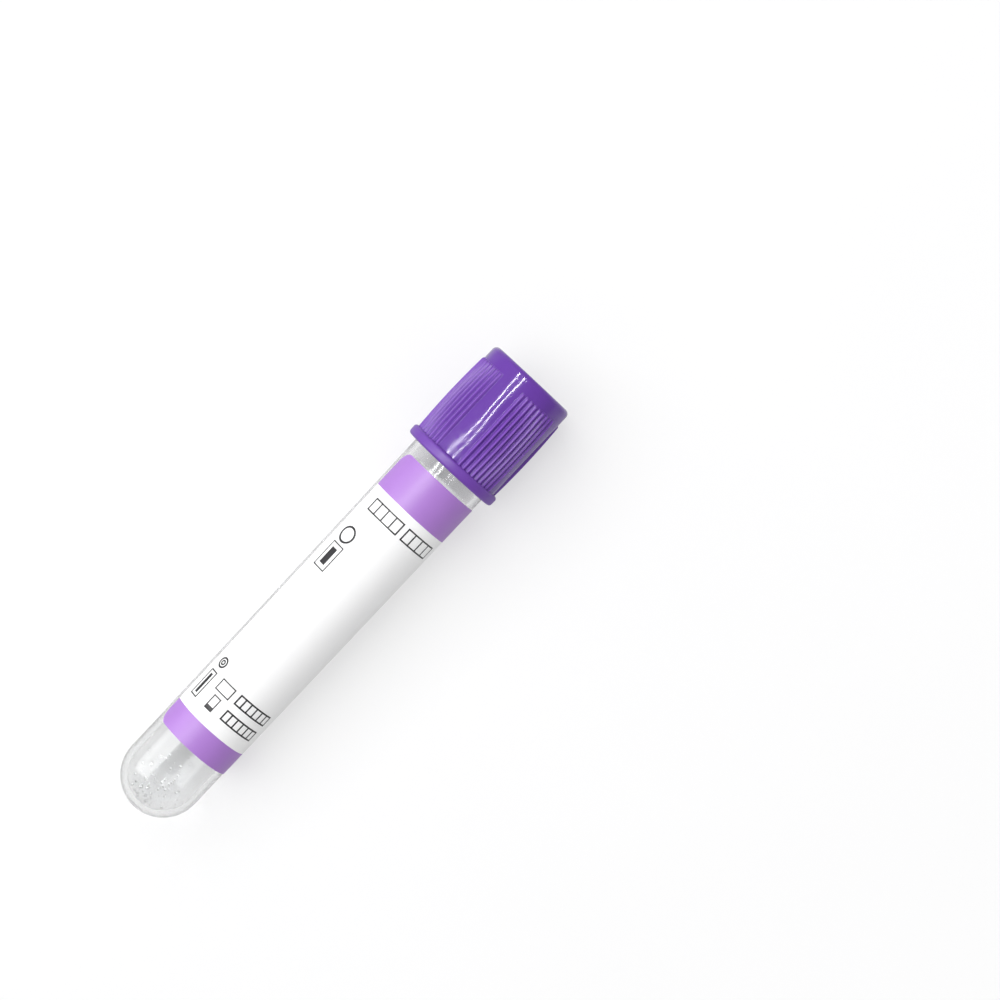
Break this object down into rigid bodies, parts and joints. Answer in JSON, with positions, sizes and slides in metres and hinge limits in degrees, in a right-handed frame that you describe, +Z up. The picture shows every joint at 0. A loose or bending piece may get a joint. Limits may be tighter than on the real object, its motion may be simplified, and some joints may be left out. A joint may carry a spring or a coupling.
{
  "type": "blood collection tube",
  "caption": "Clear round-ended blood collection tube with a purple ribbed pull-off closure over a rubber stopper, a printed wrap label and dried additive droplets inside.",
  "frame": {"origin": "on the surface it lies on, under the middle of its length", "axes": "+X along the tube from its round end towards the closure, +Z up; the tube's axis rises from +X towards +Z by 1.61 degrees"},
  "size_m": [0.0846, 0.016, 0.0159],
  "materials": {
    "clear_plastic": "clear, smooth, glossy",
    "label_film": "satin white film with pale lavender printed bands",
    "additive": "clear dried droplets",
    "cap_plastic": "moulded, glossy purple",
    "stopper_rubber": "matt grey butyl rubber"
  },
  "bodies": {
    "tube": {"tube": "clear_plastic", "label": "label_film", "additive_droplets": "additive"},
    "closure": {"cap_shield": "cap_plastic", "stopper": "stopper_rubber"}
  },
  "joints": [
    {"name": "closure_pull", "type": "slide", "parent": "tube", "child": "closure", "axis": [0.9996, 0, 0.0282], "range_m": [0, 0.03]}
  ]
}
